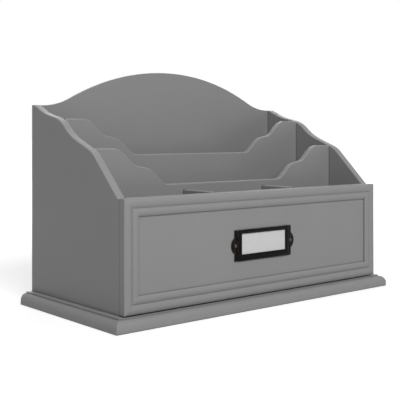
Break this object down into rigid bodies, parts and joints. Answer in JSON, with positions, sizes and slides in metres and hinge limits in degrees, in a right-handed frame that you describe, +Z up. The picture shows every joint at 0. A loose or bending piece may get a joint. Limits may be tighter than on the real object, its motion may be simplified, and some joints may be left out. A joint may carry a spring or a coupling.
{
  "type": "envelope sorter with drawer",
  "caption": "Painted desktop envelope sorter: stepped sides and dividers form letter slots and small compartments above a full-width drawer with a framed front and label holder.",
  "frame": {"origin": "centre of the base board's footprint, on the surface that it stands on", "axes": "+X to the right along the width, -Y to the front where the drawer opens, +Z up"},
  "size_m": [0.3556, 0.1652, 0.2329],
  "materials": {
    "grey_paint": "satin grey paint on fibreboard",
    "dark_bronze": "antique bronze, nearly black, worn brown on its ridges",
    "bronze_pins": "antique bronze",
    "card": "plain white card stock",
    "zinc_screws": "zinc plated",
    "steel_brads": "bright steel"
  },
  "bodies": {
    "case": {"base_board": "grey_paint", "base_screws": "zinc_screws", "left_side": "grey_paint", "right_side": "grey_paint", "left_side_brads": "steel_brads", "right_side_brads": "steel_brads", "back_panel": "grey_paint", "back_brads": "steel_brads", "compartment_floor": "grey_paint", "front_rail": "grey_paint", "rear_divider": "grey_paint", "front_divider": "grey_paint", "left_small_divider": "grey_paint", "right_small_divider": "grey_paint"},
    "drawer": {"drawer_front_panel": "grey_paint", "frame_moulding_top": "grey_paint", "frame_moulding_bottom": "grey_paint", "frame_moulding_left": "grey_paint", "frame_moulding_right": "grey_paint", "drawer_inner_front": "grey_paint", "drawer_left_side": "grey_paint", "drawer_right_side": "grey_paint", "drawer_back": "grey_paint", "drawer_bottom": "grey_paint", "drawer_brads": "steel_brads", "drawer_front_screws": "zinc_screws", "label_holder": "dark_bronze", "label_pins": "bronze_pins"},
    "card": {"label_card": "card"}
  },
  "joints": [
    {"name": "drawer_slide", "type": "slide", "parent": "case", "child": "drawer", "axis": [0, -1, 0], "range_m": [0, 0.115]},
    {"name": "card_slide", "type": "slide", "parent": "drawer", "child": "card", "axis": [0, 0, 1], "range_m": [0, 0.0195]}
  ]
}
